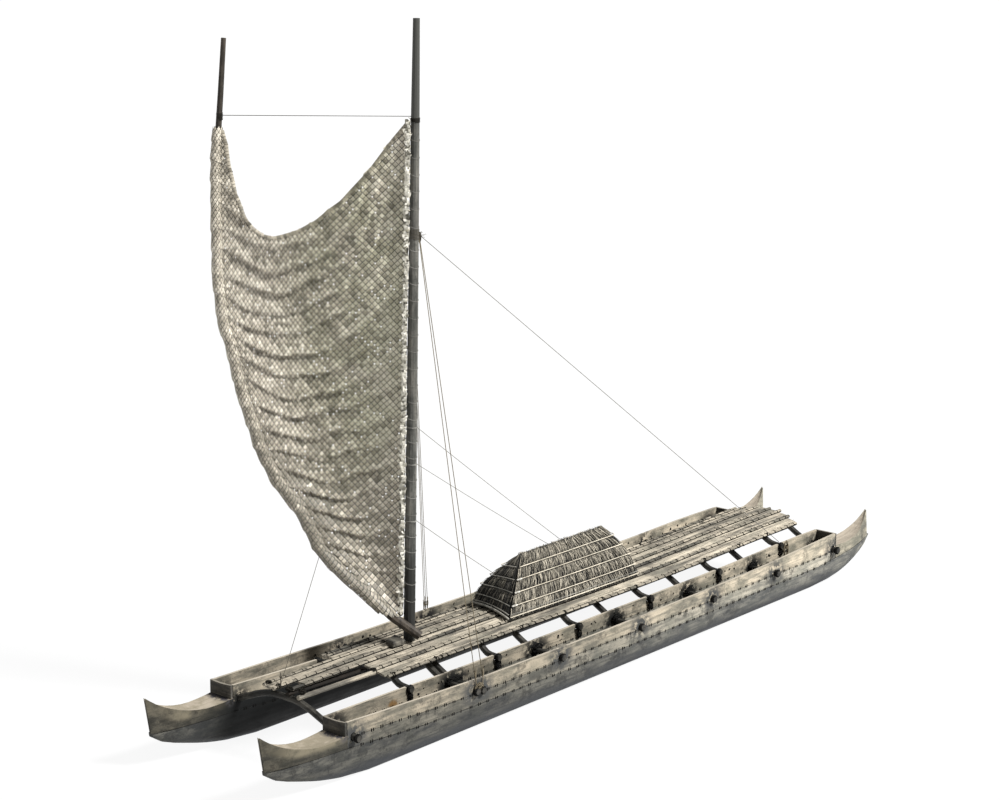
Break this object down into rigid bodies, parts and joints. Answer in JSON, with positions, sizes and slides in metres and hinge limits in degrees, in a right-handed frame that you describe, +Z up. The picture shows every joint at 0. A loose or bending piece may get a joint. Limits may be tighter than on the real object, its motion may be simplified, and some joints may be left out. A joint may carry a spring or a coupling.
{
  "type": "double-hulled sailing canoe model",
  "caption": "Handmade wooden display model of a twin-hulled voyaging canoe with pole deck, thatched deck house, mast, curved boom and crescent-headed matting sail.",
  "frame": {"origin": "middle of the plan outline, on the surface that the two keels stand on", "axes": "+X to the bow along the hulls, +Y to port, +Z up"},
  "size_m": [1.202, 0.2928, 0.8148],
  "materials": {
    "pale_wood": "weathered, dry, matt",
    "grey_wood": "weathered, stained, matt",
    "dark_wood": "dark stained, low sheen",
    "thatch": "dry leaf fibre",
    "matting": "plaited dry leaf, slightly glossy strips",
    "cord": "twisted plant fibre"
  },
  "bodies": {
    "canoe": {"aft_thatch_panel": "thatch", "backstay": "cord", "deck_pole_1": "pale_wood", "deck_pole_2": "pale_wood", "deck_pole_3": "pale_wood", "deck_pole_4": "pale_wood", "deck_pole_5": "pale_wood", "deck_pole_6": "pale_wood", "deck_reed_1": "grey_wood", "deck_reed_2": "grey_wood", "deck_reed_3": "grey_wood", "deck_reed_4": "grey_wood", "deck_reed_5": "grey_wood", "deck_reed_6": "grey_wood", "deck_reed_7": "grey_wood", "deck_reed_8": "grey_wood", "fore_pole": "pale_wood", "fore_thatch_panel": "thatch", "mast": "dark_wood", "mast_chock": "grey_wood", "port_aft_board": "dark_wood", "port_bow_piece": "pale_wood", "port_hull_log": "grey_wood", "port_inboard_gunwale_strake": "pale_wood", "port_inboard_wash_strake": "grey_wood", "port_outboard_gunwale_strake": "pale_wood", "port_outboard_wash_strake": "grey_wood", "port_shroud": "cord", "port_splash_board": "pale_wood", "port_stern_piece": "pale_wood", "port_thatch_panel": "thatch", "short_beam_1": "dark_wood", "short_beam_2": "dark_wood", "short_beam_3": "dark_wood", "short_beam_4": "dark_wood", "short_beam_5": "dark_wood", "short_beam_6": "dark_wood", "starboard_aft_board": "dark_wood", "starboard_bow_piece": "pale_wood", "starboard_hull_log": "grey_wood", "starboard_inboard_gunwale_strake": "pale_wood", "starboard_inboard_wash_strake": "grey_wood", "starboard_outboard_gunwale_strake": "pale_wood", "starboard_outboard_wash_strake": "grey_wood", "starboard_shroud": "cord", "starboard_splash_board": "pale_wood", "starboard_stern_piece": "pale_wood", "starboard_thatch_panel": "thatch", "through_beam_1": "dark_wood", "through_beam_2": "dark_wood", "through_beam_3": "dark_wood", "through_beam_4": "dark_wood", "through_beam_5": "dark_wood", "through_beam_6": "dark_wood", "through_beam_7": "dark_wood", "through_beam_8": "dark_wood", "under_pole": "dark_wood"},
    "sail_rig": {"boom": "dark_wood", "sail": "matting"}
  },
  "joints": [
    {"name": "sail_swing", "type": "hinge", "parent": "canoe", "child": "sail_rig", "pos_m": [0.265, 0.0299, 0.0869], "axis": [-0.0288, 0, 0.9996], "range_deg": [-30, 110]}
  ]
}
